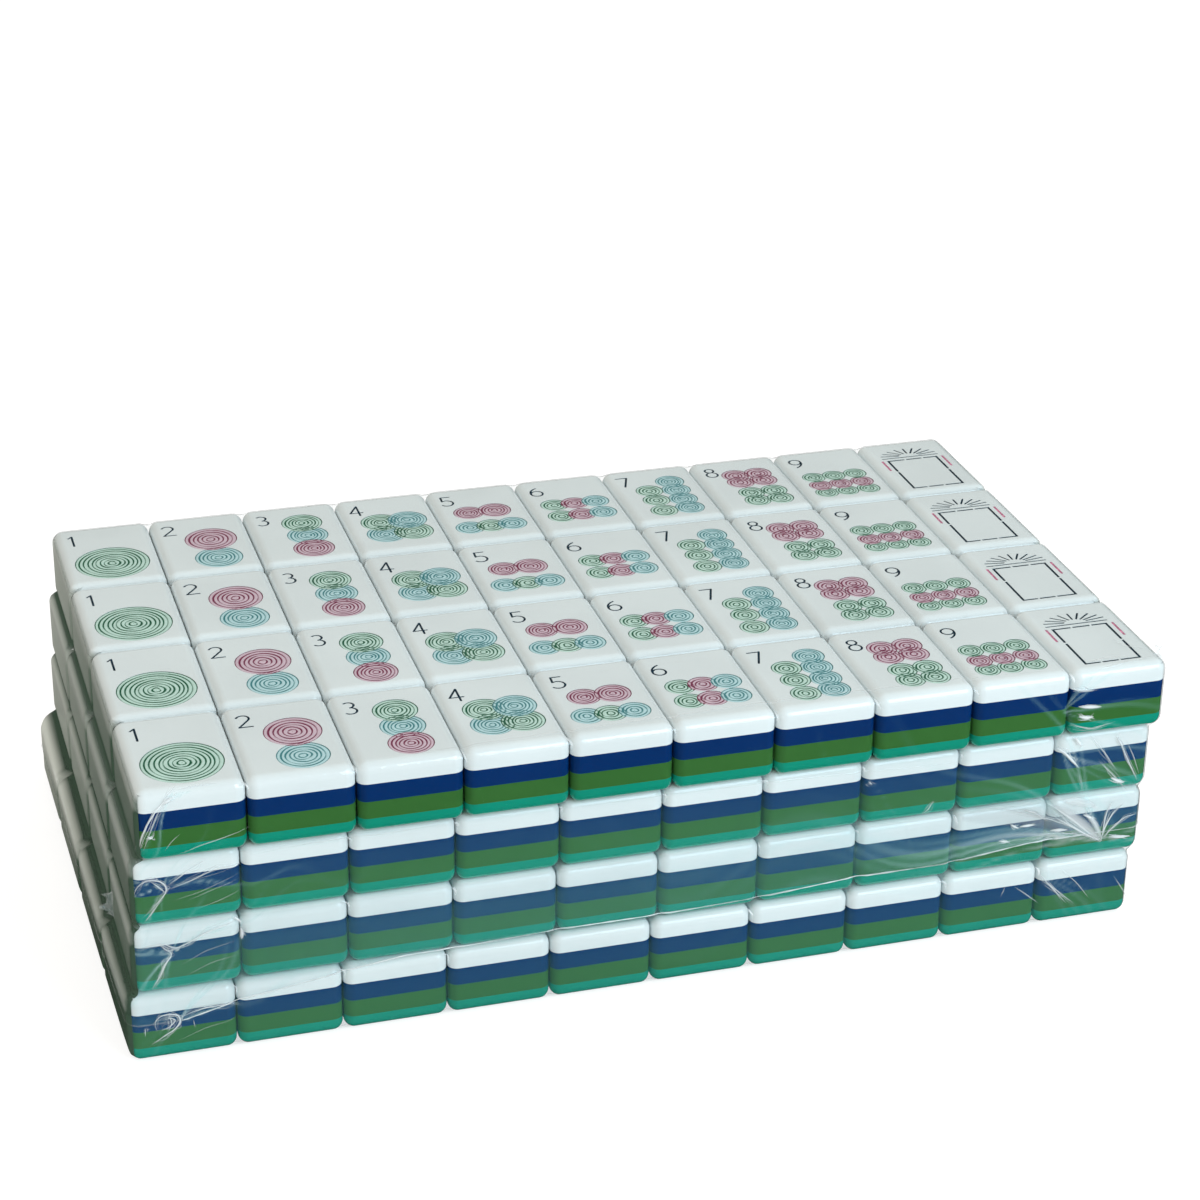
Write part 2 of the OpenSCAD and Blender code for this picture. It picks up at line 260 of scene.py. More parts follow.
def acrylic(name, colour):
    """Cast acrylic: clouds of slightly deeper colour, a polish with fine scratches."""
    paint = Paint(name)
    clouds = paint.noise(26, detail=3).ramp(0.3, 0.7)
    specks = paint.noise(1.4, detail=1).ramp(0.62, 0.78)
    scratches = paint.noise((30, 0.35, 30), detail=4).ramp(0.5, 0.8)
    cloudy = paint.mix(clouds, shaded(colour, 0.965), shaded(colour, 1.02))
    paint.set(Base_Color=paint.mix(specks * 0.25, cloudy, shaded(colour, 0.9)), IOR=ACRYLIC_IOR,
              Roughness=0.13 + clouds * 0.05 + scratches * 0.07,
              Normal=paint.bump(paint.noise(7, detail=1) + scratches * 0.02, 0.35, 0.05))
    return paint.material


materials = {name: acrylic(name, colour) for name, colour in ACRYLIC.items()}
print("acrylic:", sorted(materials))

# %% [markdown]
# ## Paint in the engraving
# The rings, numerals and frames are cut by a tool and filled with paint by hand, and what spills over is
# wiped off, so a pale wash of it stays between the cuts. A picture texture could hold that pattern, but it
# would blur close up. Here the mesh carries the pattern itself: a value named "line" is 1 in a cut and 0
# between cuts, and the material only decides how unevenly the paint fills it.

# %% Ring paint and inks
PAINTS = {"green_paint": ((0.62, 0.83, 0.74), (0.010, 0.12, 0.055)),
          "pink_paint": ((0.72, 0.55, 0.63), (0.22, 0.025, 0.075)),
          "aqua_paint": ((0.56, 0.79, 0.82), (0.05, 0.23, 0.25))}
INKS = {"dark_paint": (0.0, 0.016, 0.035), "rose_paint": (0.52, 0.17, 0.27)}


def ring_paint(name, wash, line):
    """A pale wash over the lands and full paint in the cut rings."""
    paint = Paint(name)
    strokes = paint.noise(0.7, detail=3)
    fill = (paint.attribute("line") * (0.7 + strokes * 0.6)).ramp(0.2, 0.72)
    washed = paint.mix(paint.noise(2.6).ramp(0.35, 0.7), shaded(wash, 0.93), wash)
    paint.set(Base_Color=paint.mix(fill, washed, line), Roughness=0.28 + fill * 0.12, IOR=PAINT_IOR,
              Normal=paint.bump(strokes, 0.3, 0.04))
    return paint.material


def ink(name, colour):
    """Solid paint in a cut, slightly uneven."""
    paint = Paint(name)
    strokes = paint.noise(0.8, detail=3)
    paint.set(Base_Color=paint.mix(strokes.ramp(0.45, 0.8), colour, shaded(colour, 2.5)), IOR=PAINT_IOR,
              Roughness=0.25 + strokes * 0.15, Normal=paint.bump(strokes, 0.3, 0.05))
    return paint.material


materials.update({name: ring_paint(name, *colours) for name, colours in PAINTS.items()})
materials.update({name: ink(name, colour) for name, colour in INKS.items()})
print("paints:", sorted([*PAINTS, *INKS]))

# %% [markdown]
# ## Finishes on the solids
# Every tile's layers and its paint are solids of the CAD model, and they are right as they are, down to the
# rounded edges. They could be copied and given finer bevels, but a copy may drift from the source. So they
# only get their finishes. The frame's record says which slot each solid has, and the materials are named
# like the slots.

# %% Dressing the solids
slot_of = {part["node"]: part["material_slot"] for part in frame["record"]["subparts"]}
dressed = 0
for name, solid in frame["nodes"].items():
    if slot_of[name] in materials:
        for slot in solid.material_slots:
            slot.material = materials[slot_of[name]]
        dressed += 1
print("solids' nodes with a finish:", dressed, "of", len(slot_of))

# %% [markdown]
# ## Film material
# Shrink film is a clear sheet that only shows by what it reflects, but where it gathers, laps or creases it
# turns milky. Glass with thickness would be the obvious choice, but it bends light and is slow for a sheet
# this thin. So this film is a mix: see-through, with a sheen that grows towards grazing angles, and over it
# a milky shader whose share is the mesh's "haze". A second value, "pale", takes the milk from its own
# colour towards white.

# %% Film
CLEAR, MILK_GLOSS, MILK_ROUGHNESS, WRINKLE_RISE_MM = (0.985, 0.992, 0.995), 0.15, 0.3, 0.35


def film(name, milk, white, wrinkle_mm, strength, roughness=0.08):
    """Film that is clear where its haze is 0 and milky where it is 1."""
    paint = Paint(name)
    broad_mm = tuple(3 * w for w in wrinkle_mm)
    wrinkles = paint.noise(wrinkle_mm, detail=1) + paint.noise(broad_mm, detail=0) * 1.6
    relief = paint.bump(wrinkles, strength, WRINKLE_RISE_MM)
    sheen = paint.node("LayerWeight", {"Blend": 0.5}, out="Facing") ** 5.0 * 0.6 + 0.03
    clear = paint.node("BsdfTransparent", {"Color": CLEAR})
    gloss = paint.node("BsdfGlossy", {"Roughness": roughness, "Normal": relief})
    paint.set(Base_Color=paint.mix(paint.attribute("pale").clamp(), milk, white), Roughness=MILK_ROUGHNESS,
              Specular_IOR_Level=MILK_GLOSS, Normal=relief)
    skin = paint.node("MixShader", {0: sheen, 1: clear, 2: gloss})
    milky = Wire(paint.tree, paint.shader.outputs[0])
    paint.surface(paint.node("MixShader", {0: paint.attribute("haze").clamp(), 1: skin, 2: milky}))
    return paint.material


# The clear film's cyan milk, faint on the front's lower tiers, is partly a painted reflection of the white
# floor.
clear_film = film("clear_film", (0.36, 0.93, 0.95), (0.95, 0.98, 1.0), (2.2, 2.2, 5.5), 0.25)
# The end film's dark grey-green milk is painted shade over the tiles' ends, laid on real milky gathered film.
end_film_with_shade = film("end_film_with_shade", (0.06, 0.11, 0.075), (0.85, 0.90, 0.86), (9, 24, 11), 0.12, roughness=0.2)
print("films:", clear_film.name, end_film_with_shade.name)

# %% [markdown]
# ## From a bmesh to a piece
# A bmesh is Blender's mesh for editing: operators make and shape it, and its vertices can carry values for
# a material to read. Each new piece is shaped as a bmesh in millimetres. `piece` then scales it to metres,
# smooths it, makes it ride on a body, and takes away the CAD node that it replaces.


# %% Pieces
def piece(name, form, material, slot, body, replaced=()):
    """Turns a bmesh in millimetres into an object that rides on a body."""
    bmesh.ops.scale(form, vec=(MM, MM, MM), verts=form.verts)
    for face in form.faces:
        face.smooth = True
    mesh = bpy.data.meshes.new(name)
    form.to_mesh(mesh)
    form.free()
    mesh.materials.append(material)
    thing = bpy.data.objects.new(name, mesh)
    scene.collection.objects.link(thing)
    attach(thing, body)
    if replaced:
        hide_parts(*replaced)
    print(f"{name}: {len(mesh.polygons)} faces")


# %% [markdown]
# ## Ringed discs
# The dots of the suit are discs of fine rings, cut with a turning tool. They could be a bump on the face,
# but light catches the real grooves. So a disc starts from its profile, a line of vertices from a skirt
# under the rim to the middle, which rises and falls once for each ring. `spin` turns the profile round into
# a disc. Each entry has the paint, the place and the radius of one disc, as shares of the field inside the
# tile's rounded edges.

# %% Where the discs are
GREEN, PINK, AQUA = "green_paint", "pink_paint", "aqua_paint"
DISC_SHARES = [
    [(GREEN, 0.506, 0.314, 0.481)],
    [(AQUA, 0.601, 0.196, 0.312), (PINK, 0.593, 0.569, 0.344)],
    [(AQUA, 0.588, 0.442, 0.273), (PINK, 0.588, 0.175, 0.273), (GREEN, 0.588, 0.696, 0.273)],
    [(AQUA if i == j else GREEN, x, y, 0.265) for i, x in enumerate((0.341, 0.71))
     for j, y in enumerate((0.292, 0.535))],
    [(c, x, 0.234, 0.198) for c, x in ((AQUA, 0.198), (GREEN, 0.485), (AQUA, 0.778))]
    + [(PINK, 0.293, 0.535, 0.206), (PINK, 0.653, 0.535, 0.225)],
    [(c, x, y, 0.19) for c, x in ((GREEN, 0.214), (PINK, 0.5), (AQUA, 0.795)) for y in (0.263, 0.5)],
    [(AQUA, 0.712, y, 0.202) for y in (0.164, 0.35, 0.546, 0.732)]
    + [(GREEN, 0.345, y, 0.19) for y in (0.154, 0.379, 0.582)],
    [(PINK, x, y, 0.193) for x in (0.394, 0.725) for y in (0.557, 0.707)]
    + [(GREEN, x, y, 0.185) for x in (0.423, 0.748) for y in (0.154, 0.321)],
    [(PINK if j == 1 else GREEN, x, y, 0.1625) for x in (0.165, 0.46, 0.773)
     for j, y in enumerate((0.154, 0.314, 0.489))],
]
FIELD_MM = (SIZE_MM[0] - 2 * EDGE_MM, SIZE_MM[1] - 2 * EDGE_MM)
print("discs on each tile:", [len(discs) for discs in DISC_SHARES])

# %% The profile and its spin
FINE_BELOW_MM, FINE_SHARE = 5, 0.82  # smaller discs have finer rings
SPACING_MM, LEAST_STEPS, SKIRT_MM, WELD_MM = 0.42, 20, 0.34, 0.0001


def ring_stations(radius):
    """Rows of distance from the middle, depth share, paint and ring number, from the rim inwards.

    Each ring has the two edges of its cut with the bottom between them, and then the land's middle.
    """
    rings = max(1, round(radius / (RING_PITCH_MM if radius > FINE_BELOW_MM else FINE_SHARE * RING_PITCH_MM)))
    step, rows = radius / rings, []
    for ring in range(rings):
        rim = radius - ring * step
        rows += [(rim, 0.35, 0.9, ring), (rim - RING_W_MM / 2, 1, 1, ring),
                 (rim - RING_W_MM, 0.25, 0.25, ring), (rim - (RING_W_MM + step) / 2, 0, 0, ring + 0.5)]
    return rings, step, np.array(rows + [(0, 0.6, 0.7, rings)])


def spun_disc(radius, rows):
    """The profile turned round the Z axis, with its seam and its middle closed."""
    disc = bmesh.new()
    disc.verts.layers.float.new("line")
    profile = [disc.verts.new((radius, 0, -SKIRT_MM))]
    profile += [disc.verts.new((far, 0, -PAINT_DROP_MM - depth * RING_DEPTH_MM)) for far, depth, _, _ in rows]
    edges = [disc.edges.new(pair) for pair in zip(profile, profile[1:])]
    bmesh.ops.spin(disc, geom=profile + edges, axis=(0, 0, 1), cent=(0, 0, 0), angle=2 * math.pi,
                   steps=max(LEAST_STEPS, int(2 * math.pi * radius / SPACING_MM)), use_merge=True)
    bmesh.ops.remove_doubles(disc, verts=disc.verts, dist=WELD_MM)
    disc.verts.index_update()
    disc.normal_update()
    if sum(face.normal.z for face in disc.faces) < 0:
        bmesh.ops.reverse_faces(disc, faces=disc.faces)
    return disc


sample = spun_disc(3, ring_stations(3)[2])
print("a disc of 3 mm radius has", len(sample.faces), "faces")
sample.free()

# %% [markdown]
# ## Rings cut by hand
# A spun disc is perfectly round, and the real rings aren't: the tool wanders, and the paint is thin on one
# side and thick on the other. Noise in the material would blur that. Instead a few waves of random size
# shift every vertex in or out, more so towards the middle. Where discs overlap, the one cut last covers the
# one below, but the rings of that one show through. Vertices under a cover are pushed out to its rim, and
# faces that lie wholly under it go.

# %% Wobble
WOBBLE_MM, WOBBLE_WAVES, WAVE_SIZES, INNER_WOBBLE = 0.10, (1, 2, 3, 5), (0.3, 1), 0.9
PRESS, PRESS_SWING = 0.8, 0.3


def hand_cut(places, rings, step, rows, random):
    """Wobbling places round the origin, and how much paint each has, from places on a round disc."""
    far, angle = np.hypot(places[:, 0], places[:, 1]), np.arctan2(places[:, 1], places[:, 0])
    distances, _, paint, numbers = rows[::-1].T
    ring, line = np.interp(far, distances, numbers), np.interp(far, distances, paint)
    steps = np.arange(rings + 1)
    waves = [(n, random.uniform(0, 2 * math.pi, rings + 1), random.uniform(*WAVE_SIZES, rings + 1))
             for n in WOBBLE_WAVES]
    wobble = sum(np.sin(n * angle + np.interp(ring, steps, phase)) * np.interp(ring, steps, size) / n
                 for n, phase, size in waves)
    calm = np.minimum(np.minimum(1, ring), far / step)  # the rim and the middle stay where they are
    reach = far + wobble * WOBBLE_MM * (1 + INNER_WOBBLE * ring / rings) * calm
    press = PRESS + PRESS_SWING * np.sin(2 * angle + 1.7 * ring) * np.sin(angle - ring)
    return np.stack([reach * np.cos(angle), reach * np.sin(angle)], axis=1), np.clip(line * press, 0, 1)


print("waves round a ring:", WOBBLE_WAVES)

# %% Crossings and covers
CROSSING_PAINT, CROSSING_WOBBLE = 0.9, 0.02


def crossed(places, line, others):
    """The paint of a disc with the rings of the discs below it showing through."""
    for x, y, radius in others:
        far = np.hypot(places[:, 0] - x, places[:, 1] - y) * (1 + CROSSING_WOBBLE * np.sin(places[:, 0] * 5))
        crossing = np.clip(1 - np.abs((radius - far) % RING_PITCH_MM / RING_W_MM - 1), 0, 1) * (far < radius)
        line = np.maximum(line, CROSSING_PAINT * crossing)
    return line


def tucked(places, covers):
    """Places pushed out to the rims of the discs that cover them, and which ones were."""
    hidden = np.zeros(len(places), bool)
    for x, y, radius in covers:
        way = places - (x, y)
        far = np.linalg.norm(way, axis=1)
        inside = far < radius
        places[inside] = (x, y) + way[inside] / np.maximum(far[inside], 1e-6)[:, None] * radius
        hidden |= inside
    return places, hidden


def cut_disc(centre, radius, covers, others, random):
    """One finished disc on its tile, crossed by the discs below it and cut back under those above it."""
    rings, step, rows = ring_stations(radius)
    disc = spun_disc(radius, rows)
    places, line = hand_cut(np.array([vert.co for vert in disc.verts]), rings, step, rows, random)
    line = crossed(places + centre, line, others)
    places, hidden = tucked(places + centre, covers)
    line_of = disc.verts.layers.float["line"]
    for vert, place, value in zip(disc.verts, places, line):
        vert.co.xy, vert[line_of] = place, value
    covered = [face for face in disc.faces if all(hidden[vert.index] for vert in face.verts)]
    bmesh.ops.delete(disc, geom=covered, context="FACES")
    return disc


print("share of paint where rings cross:", CROSSING_PAINT)

# %% [markdown]
# ## Discs on four rows of tiles
# The four tiles of a column are alike. An array modifier could repeat a disc along the rows, but then each
# disc would be an object of its own. Here a disc is cut once, copied into the bmesh of its paint, and moved
# on by a row, so all the discs of one paint become one piece that rides on the top tier.

# %% Discs on every tile
random = np.random.default_rng(7)
gathered = {paint: bmesh.new() for paint in PAINTS}
scrap = bpy.data.meshes.new("scrap")
for number, discs in enumerate(DISC_SHARES):
    places = [(EDGE_MM + x * FIELD_MM[0], EDGE_MM + y * FIELD_MM[1], r * FIELD_MM[0]) for _, x, y, r in discs]
    for i, (paint, *_) in enumerate(discs):
        disc = cut_disc(places[i][:2], places[i][2], places[i + 1:], places[:i], random)
        corner = (lows[-1][0] + number * PITCH_X_MM, lows[-1][1], TOP_MM)
        bmesh.ops.translate(disc, vec=corner, verts=disc.verts)
        for row in range(ROWS):
            disc.to_mesh(scrap)
            gathered[paint].from_mesh(scrap)
            bmesh.ops.translate(disc, vec=(0, PITCH_Y_MM, 0), verts=disc.verts)
        disc.free()
bpy.data.meshes.remove(scrap)
for paint, form in gathered.items():
    colour = paint.split("_")[0]
    piece(f"{colour}_rings", form, materials[paint], paint, "tier_4", [f"{colour}_ring_paint"])

# %% [markdown]
# ## Where stretched film lies
# Film that shrinks on to the block touches the tiles and spans the gaps between them. A cloth simulation
# could find that shape, but it is slow, and a script has to give the same result each run. Seen from one
# side, though, the tiles are a height field, and a ball that rolls over it can't sink into a gap. Its lower
# envelope is what the film does: flat on the tiles, with shallow valleys between them. `Side` works that
# out for one side of the block and turns places on it, (u, v), into points.


# %% A rolling ball
def rolled(field, radius, pitch):
    """A height field after a ball has rolled over it from above and then from below."""
    cells = int(radius / pitch)
    for sign in (1, -1):
        best = np.full(field.shape, -np.inf)
        padded = np.pad(sign * field, cells, mode="edge")
        for i in range(2 * cells + 1):
            for j in range(2 * cells + 1):
                far = math.hypot(i - cells, j - cells) * pitch
                if far < radius:
                    shifted = padded[i:i + field.shape[0], j:j + field.shape[1]]
                    best = np.maximum(best, shifted + math.sqrt(radius ** 2 - far ** 2) - radius)
        field = sign * best
    return field


slot = np.repeat([[0.0], [-9.0], [0.0]], [8, 4, 8], axis=0)
print("a ball of 2 mm radius sinks into a slot of 2 mm by", round(-rolled(slot, 2, 0.5).min(), 2), "mm")

# %% A height field for each side
BALL_MM, END_BALL_MM, PITCH_MM, END_PITCH_MM = 4.0, 0.9, 0.5, 0.25
MARGIN_MM, DEEP_MM, HOLE_MM = 6.0, 9.0, 2.0  # round the block, where no tile is, and of the deepest valley
# The last three set the painted shade in the valleys of the end film.
VALLEY_MM, SOFT_CELLS, CELL_WEIGHT, VALLEY_SHADE_GAIN = (5.0, 2.5), 10, 8, 1.5


class Side:
    """One side of the block: a height field over (u, v), and the way back to points."""

    def __init__(self, name, axis, sign):
        self.name, self.axis, self.sign = name, axis, sign
        self.pitch = END_PITCH_MM if axis == 0 else PITCH_MM
        self.u_axis, self.v_axis = ((1, 2), (0, 2), (0, 1))[axis]
        self.inward = (sign < 0) == (axis == 1)  # a new grid's faces look into the block on such a side
        self.u, self.v = (np.arange(BLOCK_LOW[a] - MARGIN_MM, BLOCK_HIGH[a] + MARGIN_MM, self.pitch)
                          for a in (self.u_axis, self.v_axis))
        self.level = (BLOCK_HIGH if sign > 0 else BLOCK_LOW)[axis]
        field = rolled(self.tiles(), END_BALL_MM if axis == 0 else BALL_MM, self.pitch)
        reach = [int(far / self.pitch) for far in VALLEY_MM]
        around = np.max([np.roll(field, shift, way) for way, cells in enumerate(reach)
                         for shift in range(-cells, cells + 1, 2)], axis=0)  # the highest film nearby
        self.field = np.maximum(field, around - HOLE_MM)
        # Painted shade for the end film: how far the film lies below the film round it, softened along u.
        dip = around - self.field
        nearby = [np.roll(dip, shift, 0) for shift in range(-SOFT_CELLS, SOFT_CELLS + 1)]
        self.valley_shade = np.mean(nearby + [dip] * CELL_WEIGHT, axis=0) * VALLEY_SHADE_GAIN  # a valley's shade is soft

    def tiles(self):
        """How far the tiles stand out, from 0 at the furthest one."""
        u, v = np.meshgrid(self.u, self.v, indexing="ij")
        out = np.full(u.shape, -DEEP_MM)
        for tier in range(TIERS) if self.axis < 2 else (TIERS - 1,):
            start = (*lows[tier], seats[tier])
            end = (*highs[tier], seats[tier] + TILE_H_MM)
            face = self.sign * ((end if self.sign > 0 else start)[self.axis] - self.level)
            lost = 0
            for values, axis in ((u, self.u_axis), (v, self.v_axis)):
                pitch = SIZE_MM[axis] + GAP_MM
                within = (values - start[axis]) % pitch if axis < 2 else values - start[axis]
                edge = np.minimum(within, SIZE_MM[axis] - within)
                edge = np.where((values < start[axis]) | (values > end[axis]), -1, edge)
                lost = lost + np.where(edge < 0, 2 * EDGE_MM, np.clip(EDGE_MM - edge, 0, EDGE_MM)) ** 2
            sunk = EDGE_MM - np.sqrt(np.clip(EDGE_MM ** 2 - lost, 0, None))
            out = np.maximum(out, np.where(lost < EDGE_MM ** 2, face - sunk, -DEEP_MM))
        return out

    def height(self, u, v, field=None):
        """The film's field, or another one, at any place between its samples."""
        a = np.clip((u - self.u[0]) / self.pitch, 0, len(self.u) - 1.001)
        b = np.clip((v - self.v[0]) / self.pitch, 0, len(self.v) - 1.001)
        i, j = a.astype(int), b.astype(int)
        a, b = a - i, b - j
        f = self.field if field is None else field
        before, after = (f[i, row] * (1 - a) + f[i + 1, row] * a for row in (j, j + 1))
        return before * (1 - b) + after * b

    def points(self, u, v, out):
        """Points over (u, v) that stand out from the film's surface by that amount."""
        found = np.zeros((*u.shape, 3))
        found[..., self.u_axis], found[..., self.v_axis] = u, v
        found[..., self.axis] = self.level + self.sign * (self.height(u, v) + out)
        return found

    def place(self, px, py):
        """The place (u, v) on this side's film that a pixel of the picture shows."""
        ray, depth = sight_line(px, py), self.level
        for _ in range(3):  # the film isn't flat, so its depth there moves the place a little
            spot = (eye + ray * ((depth * MM - eye[self.axis]) / ray[self.axis])) / MM
            u, v = spot[self.u_axis], spot[self.v_axis]
            depth = self.level + self.sign * float(self.height(np.array([u]), np.array([v]))[0])
        return u, v


SIDES = {name: Side(name, axis, sign) for name, axis, sign in
         (("front", 1, -1), ("back", 1, 1), ("left", 0, -1), ("right", 0, 1), ("top", 2, 1))}
print("film fields:", {name: side.field.shape for name, side in SIDES.items()})

# %% [markdown]
# ## Gathers
# Where film had more to shrink than the block allowed, it drew together in one point, and folds run out
# from it like the rays of a fan. Each fold could be drawn by hand, but dozens are alike and only their
# point, spread and strength matter. So a gather is a point with a number of random ridges, which add to the
# film's height and make it milkier. Each entry has the point, the folds' reach and height in millimetres,
# their number and milkiness, the way they run and how far they fan, in degrees, and the share of them that
# runs the opposite way.

# %% Folds round a point
FRONT_GATHERS = [  # the point is a pixel of the picture
    (168, 800, 9, 0.16, 12, 0.45, 60, 50, 0.5), (162, 885, 10, 0.18, 12, 0.45, 45, 60, 0.4),
    (172, 952, 11, 0.20, 12, 0.50, 35, 50, 0.5), (178, 1022, 10, 0.18, 10, 0.50, 30, 40, 0.5),
    (1100, 838, 26, 0.45, 16, 0.55, 150, 45, 0.1), (1062, 712, 20, 0.22, 9, 0.25, 10, 50, 0),
    (1062, 752, 20, 0.28, 10, 0.30, -35, 35, 0), (1040, 868, 15, 0.22, 8, 0.25, -40, 25, 0),
    (905, 825, 14, 0.12, 6, 0.12, -20, 60, 0.3),
]
END_GATHERS = [(-58, 14, 12, 0.25, 9, 0.15, 60, 80, 0.3), (-60, 30, 8, 0.15, 5, 0.10, 20, 60, 0.3)]
POINT_MM, BEND = 1.2, 0.08  # folds fade this near their point, and bend this many radians on their way out
FOLD_SIZES, FOLD_WIDTHS = (0.35, 1), (0.025, 0.07)


def fold_field(u, v, gathers):
    """Height and milk of all folds at (u, v)."""
    random = np.random.default_rng(11)
    height, milk = np.zeros(u.shape), np.zeros(u.shape)
    for x, z, reach, rise, folds, white, way, fan, back_share in gathers:
        far, angle = np.hypot(u - x, v - z), np.arctan2(v - z, u - x)
        aside = fan * random.uniform(-1, 1, folds)
        phase = np.radians(way + aside + 180 * (random.random(folds) < back_share))
        size, width = random.uniform(*FOLD_SIZES, folds), random.uniform(*FOLD_WIDTHS, folds)
        ridge = np.zeros(u.shape)
        for start, share, narrow in zip(phase, size, width):
            bend = start + BEND * np.sin(far / reach * 3 + start)
            turn = (angle - bend + math.pi) % (2 * math.pi) - math.pi
            across = np.exp(-(turn / narrow) ** 2 * np.clip(far / reach * 4, 0.25, 6))
            ridge = np.maximum(ridge, share * across * np.exp(-far / (reach * share)))
        height += rise * ridge * (1 - np.exp(-(far / POINT_MM) ** 2))
        milk += white * ridge
    return height, milk


gathers_of = {"front": [(*SIDES["front"].place(px, py), *rest) for px, py, *rest in FRONT_GATHERS],
              "back": [], "left": END_GATHERS, "right": END_GATHERS}
print("front gathers, mm:", [tuple(round(v, 1) for v in g[:2]) for g in gathers_of["front"]])

# %% [markdown]
# ## The weld
# The film is two sheets. Heat welded them along a line that runs round the block at mid height, slanting on
# the front. A straight line would be simpler, but the slant is the first thing one sees of the film. So the
# front's line follows points of the picture, and the other sides join its ends to the heights that the CAD
# model has.

# %% The weld's height
SEAM_PX = [(183, 1019), (242, 997), (400, 955), (454, 946), (563, 927), (665, 912), (762, 895), (856, 875),
           (951, 861), (1037, 841), (1094, 832)]
seam_x, seam_z = zip(*(SIDES["front"].place(*px) for px in SEAM_PX))


def seam_bottom(side, shares):
    """Height of the seam along a side: as in the picture on the front, and straight on the others."""
    if side.name == "front":
        return np.interp(BLOCK_LOW[0] + shares * (BLOCK_HIGH[0] - BLOCK_LOW[0]), seam_x, seam_z)
    start, end = {"back": (SEAM_LEFT_MM, SEAM_RIGHT_MM), "left": (seam_z[0], SEAM_LEFT_MM),
                  "right": (seam_z[-1], SEAM_RIGHT_MM)}[side.name]
    return start + (end - start) * shares


print("seam, mm:", [round(z, 1) for z in seam_z])

# %% [markdown]
# ## Haze, and painted shade and light
# On the front the film is nearly clear; its faint haze below the top tier is partly film and partly a painted
# reflection of the white floor, and thins over the white layers. The ends are where the sleeve was drawn
# together, so they are milky, and over that their grey-green is painted shade: darkest low down at the front,
# lighter at the back, over the white layers and on the lowest ledge. One value for a whole side would look
# like frosted glass, and painted masks would need a picture. So haze and paleness are sums of simple ramps
# over height and depth, which `between` gives.

# %% Ramps of haze
CORNER_IN_MM = EDGE_MM * (1 - math.sqrt(0.5))
EAVES_MM = TOP_MM - CORNER_IN_MM
WHITE_RAMP_MM, LEDGE_LIGHT_RAMP_MM, CLEAR_RAMP_MM = (10.4, 12.0), (10, 13), (48.5, 45.5)
COVER_HAZE_AND_REFLECTION, TRAY_HAZE_AND_REFLECTION = 0.036, 0.045


def between(values, start, end):
    """0 up to start, 1 from end, and straight between them."""
    return np.clip((values - start) / (end - start), 0, 1)


def white_share(z):
    """1 at the heights of the white layers and 0 at the others."""
    within = (z - seats[0]) % TILE_H_MM
    return between(within, *WHITE_RAMP_MM) * between(within, TILE_H_MM + 0.6, TILE_H_MM - 0.2)


def end_shade_haze(z):
    """Milky gathered film, thick over the coloured layers as painted shade, clearer over the white ones and
    at the roof.
    """
    return (0.97 - 0.25 * white_share(z)) * between(z, EAVES_MM + 0.3, EAVES_MM - 1.5)


def end_painted_light(y, z):
    """Painted shade and light: darkest low at the front, lightest at the back, over white layers and on the
    lowest ledge.
    """
    share = between(y, BLOCK_LOW[1], BLOCK_HIGH[1])
    within = (z - seats[0]) % TILE_H_MM / TILE_H_MM
    low = between(z, TILE_H_MM + 1, TILE_H_MM - 2)
    ledge = between(z, *LEDGE_LIGHT_RAMP_MM) * between(z, TILE_H_MM + 0.4, TILE_H_MM - 0.4)
    return (0.15 + 0.5 * share ** 2 + (0.42 - 0.2 * share) * white_share(z)
            - 0.12 * np.clip(0.6 - within, 0, 1) - 0.2 * low * (1 - share) + 0.45 * share ** 0.6 * ledge)


# The cover's haze: the ends' painted shade, and on the front and back a faint haze below the top tier, partly
# a painted reflection, thinner over the white layers.
def cover_haze_and_light(name, z):
    if name in ("left", "right"):
        return end_shade_haze(z)
    return COVER_HAZE_AND_REFLECTION * between(z, *CLEAR_RAMP_MM) * (1 - 0.75 * white_share(z))


# The tray's haze: the ends' painted shade, and elsewhere a faint haze, partly a painted reflection, thinner
# over the white layers.
def tray_haze_and_light(name, z):
    return end_shade_haze(z) if name in ("left", "right") else TRAY_HAZE_AND_REFLECTION * (1 - 0.75 * white_share(z))


print("eaves, mm:", round(EAVES_MM, 2))

# %% [markdown]
# ## Four upright sheets
# The cover and the tray each have four sides. They could be one closed surface, but each replaces its own
# sheet of the CAD model, so each side is a grid of its own. Grids that only touch would leave slits at the
# block's corners. So the sides end at the middle of the tiles' rounded corners, and both take the mean of
# their two edges there.


# %% Where the film ends
def spread(low, high, fine_low, fine_high, fine, coarse):
    """Shares of a length: fine steps over the given lengths at both ends and coarse ones between them."""
    middle = np.arange(low + fine_low, high - fine_high, coarse)
    places = np.concatenate([np.arange(0, fine_low, fine) + low, middle,
                             np.arange(high - fine_high, high, fine), [high]])
    places = np.unique(np.round(places, 4))
    places = places[np.concatenate([[True], np.diff(places) > fine / 3])]
    return (places - places[0]) / (places[-1] - places[0])


X_SHARES = spread(0, 229, 26, 62, 0.40, 1.2)  # finest where the front's folds are
Y_SHARES = spread(0, 133, 14, 5, 0.5, 0.5)


def outer_edges(axis, z):
    """Low and high ends of the film along one axis at those heights, at the middle of its corners."""
    ends = []
    for name in (("left", "right"), ("front", "back"))[axis]:
        side = SIDES[name]
        middle = (BLOCK_LOW[side.u_axis] + BLOCK_HIGH[side.u_axis]) / 2
        on_tile = np.full(z.shape, middle + 0.25 * (SIZE_MM[side.u_axis] + GAP_MM))
        ends.append(side.level + side.sign * (side.height(on_tile, z) - CORNER_IN_MM))
    return ends


print("vertices along the front and the ends:", len(X_SHARES), len(Y_SHARES))


